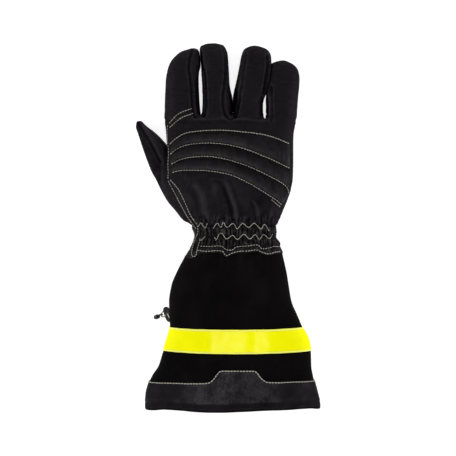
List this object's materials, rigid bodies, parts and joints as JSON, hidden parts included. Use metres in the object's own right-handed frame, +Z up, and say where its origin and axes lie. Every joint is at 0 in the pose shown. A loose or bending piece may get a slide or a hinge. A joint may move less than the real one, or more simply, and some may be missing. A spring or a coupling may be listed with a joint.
{
  "type": "gauntlet work glove",
  "caption": "Right-hand leather duty glove lying palm-down, with a padded knuckle panel, gathered wrist, flared cloth cuff, yellow tape band, leather hem and a small clip.",
  "frame": {"origin": "middle of the glove's outer box, on the surface it lies on", "axes": "+Y towards the fingertips, +X towards the little-finger side, +Z up out of the back of the hand"},
  "size_m": [0.192, 0.3808, 0.0447],
  "materials": {
    "hand_leather": "fine-grained black glove leather, low sheen",
    "pad_leather": "padded black leather, low sheen",
    "cuff_cloth": "matt black suede-like cloth",
    "tape": "fluorescent yellow tape with a soft gloss",
    "hem_leather": "pebbled black leather",
    "webbing": "dark olive-grey woven webbing",
    "ring_metal": "nickel-plated wire",
    "toggle_plastic": "gloss black moulding"
  },
  "bodies": {
    "root": {"glove_body": "hand_leather", "index_finger": "hand_leather", "middle_finger": "hand_leather", "ring_finger": "hand_leather", "little_finger": "hand_leather", "thumb": "hand_leather", "wrist_band": "hand_leather", "knuckle_pad": "pad_leather", "cuff": "cuff_cloth", "hivis_band": "tape", "hem_panel": "hem_leather", "clip_loop": "webbing", "clip_ring": "ring_metal", "clip_toggle": "toggle_plastic"}
  },
  "joints": []
}
